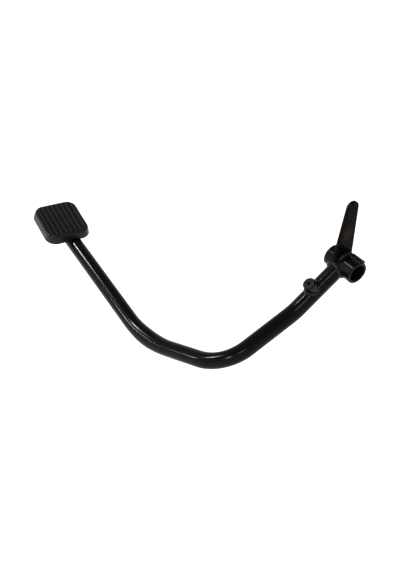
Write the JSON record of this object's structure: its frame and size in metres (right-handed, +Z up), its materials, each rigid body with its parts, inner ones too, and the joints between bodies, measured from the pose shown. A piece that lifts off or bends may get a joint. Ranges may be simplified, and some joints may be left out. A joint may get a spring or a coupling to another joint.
{
  "type": "motorcycle rear brake pedal",
  "caption": "Welded rear brake pedal: a bent tube arm from a pivot sleeve to a ribbed rubber foot pad, with a flat rod lever and a round stop boss.",
  "frame": {"origin": "middle of the pivot bore", "axes": "+X forward to the foot pad, +Y along the pivot away from the foot pad's side, +Z up"},
  "size_m": [0.2015, 0.2998, 0.1717],
  "materials": {
    "enamel": "gloss black enamel over welded steel",
    "pad_rubber": "satin moulded black rubber"
  },
  "bodies": {
    "root": {"pivot_sleeve": "enamel", "arm_tube": "enamel", "pad_plate": "enamel", "pad_cover": "pad_rubber", "rod_lever": "enamel", "stop_boss": "enamel", "stop_lug": "enamel", "weld_arm": "enamel", "weld_lever": "enamel", "weld_boss": "enamel", "weld_lug": "enamel", "weld_plate": "enamel"}
  },
  "joints": []
}
